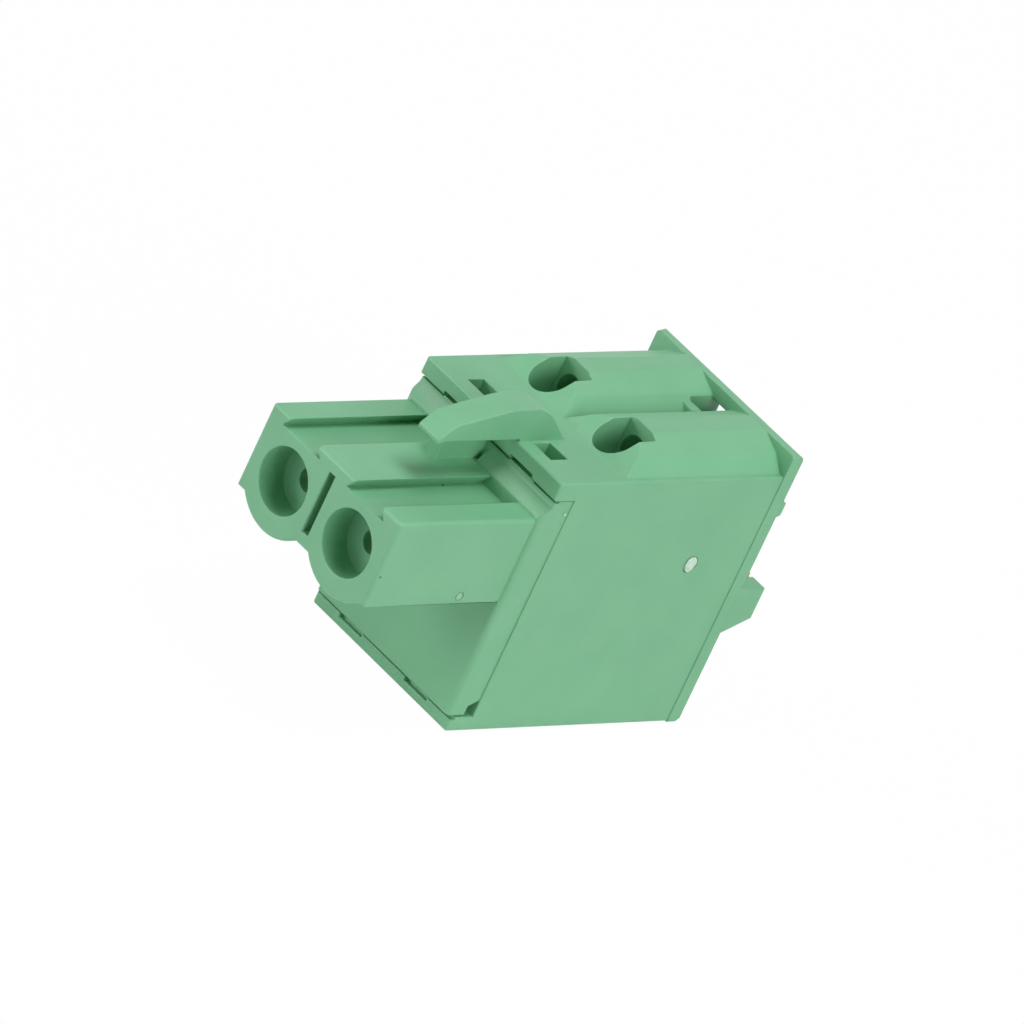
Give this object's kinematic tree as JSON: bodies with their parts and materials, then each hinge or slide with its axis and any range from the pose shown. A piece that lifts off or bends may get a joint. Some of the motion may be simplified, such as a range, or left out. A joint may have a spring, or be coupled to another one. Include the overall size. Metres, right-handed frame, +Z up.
{
  "type": "pluggable terminal block",
  "caption": "Green plug-in terminal block with a socket nose, latch claw, ridged top with test holes, rear wire entries and orange release buttons.",
  "frame": {"origin": "middle of the flat base, halfway between the front edges of the deck and base plates and the rear face", "axes": "+Y towards the wire side, -Y along the mating nose, +Z up to the latch deck, +X across the poles"},
  "size_m": [0.0162, 0.0396, 0.024],
  "materials": {
    "green_plastic": "fine moulded matt",
    "orange_plastic": "moulded satin",
    "tinned_contact": "tin plated",
    "spring_steel": "bright rolled"
  },
  "bodies": {
    "plug": {"main_housing": "green_plastic", "front_housing": "green_plastic", "socket_contact_1": "tinned_contact", "over_spring_1": "spring_steel", "current_bar_1": "tinned_contact", "clamp_spring_1": "spring_steel", "socket_contact_2": "tinned_contact", "over_spring_2": "spring_steel", "current_bar_2": "tinned_contact", "clamp_spring_2": "spring_steel"},
    "button_1": {"release_button_1": "orange_plastic"},
    "button_2": {"release_button_2": "orange_plastic"}
  },
  "joints": [
    {"name": "button_1_press", "type": "slide", "parent": "plug", "child": "button_1", "axis": [0, -1, 0], "range_m": [0, 0.0015], "stiffness_N_per_m": 400, "springref_m": -0.001, "deforming": ["clamp_spring_1"]},
    {"name": "button_2_press", "type": "slide", "parent": "plug", "child": "button_2", "axis": [0, -1, 0], "range_m": [0, 0.0015], "stiffness_N_per_m": 400, "springref_m": -0.001, "deforming": ["clamp_spring_2"]}
  ]
}
